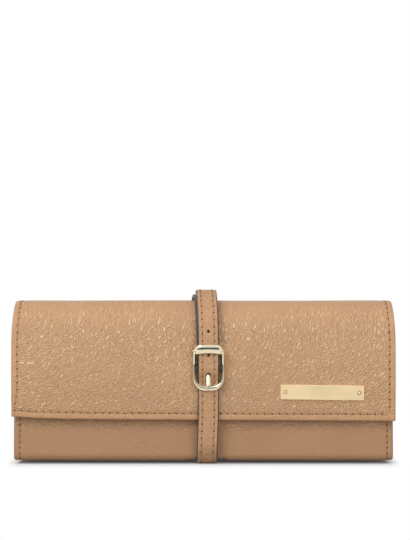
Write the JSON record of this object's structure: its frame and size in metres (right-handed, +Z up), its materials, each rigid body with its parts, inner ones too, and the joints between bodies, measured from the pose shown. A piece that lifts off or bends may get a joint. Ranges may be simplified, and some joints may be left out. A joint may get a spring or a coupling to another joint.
{
  "type": "leather jewellery wrap case",
  "caption": "Soft padded leather wrap case with a fold-over flap, folding front wall, buckled strap, riveted blank plate, zipped pocket and ring bar, for carrying jewellery.",
  "frame": {"origin": "On the resting plane, under the middle of the case, on the flat underside of the strap that runs beneath the base.", "axes": "+X along the case's width, -Y out of the front with the buckle, +Z up."},
  "size_m": [0.23, 0.0645, 0.104],
  "materials": {
    "leather": "pebbled grain, satin",
    "padding": "pressed felt board",
    "lining": "suede nap",
    "gilt": "polished light gold plating",
    "satin_gilt": "satin light gold plating",
    "tape": "woven tape"
  },
  "bodies": {
    "body": {"back_panel": "leather", "back_board": "padding", "body_lining": "lining", "pocket_lower_panel": "lining", "pocket_upper_panel": "lining", "zip_tapes": "tape", "zip_teeth": "gilt", "zip_stops": "gilt", "back_strap": "leather", "ring_bar_anchor": "leather", "snap_stud": "gilt"},
    "flap": {"flap_leather": "leather", "flap_board": "padding", "flap_lining": "lining", "flap_pocket": "lining", "nameplate": "satin_gilt", "nameplate_rivets": "satin_gilt"},
    "strap": {"buckle_strap": "leather", "free_strap": "leather", "buckle_frame": "gilt", "buckle_pin": "gilt"},
    "tongue": {"buckle_tongue": "gilt"},
    "front": {"front_wall": "leather", "front_board": "padding", "front_lining": "lining", "front_pocket": "lining"},
    "ring_bar": {"ring_bar": "lining", "ring_bar_tab": "leather", "snap_cap": "gilt"},
    "zip_slider": {"zip_slider": "gilt"},
    "zip_pull": {"zip_pull": "gilt"}
  },
  "joints": [
    {"name": "flap_hinge", "type": "hinge", "parent": "body", "child": "flap", "pos_m": [0, 0.02985, 0.08255], "axis": [-1, 0, 0], "range_deg": [0, 145]},
    {"name": "front_hinge", "type": "hinge", "parent": "body", "child": "front", "pos_m": [0, -0.0214, 0.01245], "axis": [1, 0, 0], "range_deg": [0, 90]},
    {"name": "strap_lift", "type": "hinge", "parent": "flap", "child": "strap", "pos_m": [0, 0.02985, 0.08255], "axis": [-1, 0, 0], "range_deg": [0, 28]},
    {"name": "tongue_lift", "type": "hinge", "parent": "strap", "child": "tongue", "pos_m": [0.003, -0.02906, 0.058], "axis": [-1, 0, 0], "range_deg": [0, 30]},
    {"name": "ring_bar_swing", "type": "hinge", "parent": "body", "child": "ring_bar", "pos_m": [-0.09595, 0, 0.007], "axis": [0, -1, 0], "range_deg": [0, 25]},
    {"name": "zip_slide", "type": "slide", "parent": "body", "child": "zip_slider", "axis": [-1, 0, 0], "range_m": [0, 0.16]},
    {"name": "zip_pull_swing", "type": "hinge", "parent": "zip_slider", "child": "zip_pull", "pos_m": [0.0845, 0.0172, 0.0642], "axis": [0, 0, 1], "range_deg": [0, 80]}
  ],
  "couplings": [
    {"joint": "front_hinge", "follows": "flap_hinge", "ratio": 0.62}
  ]
}
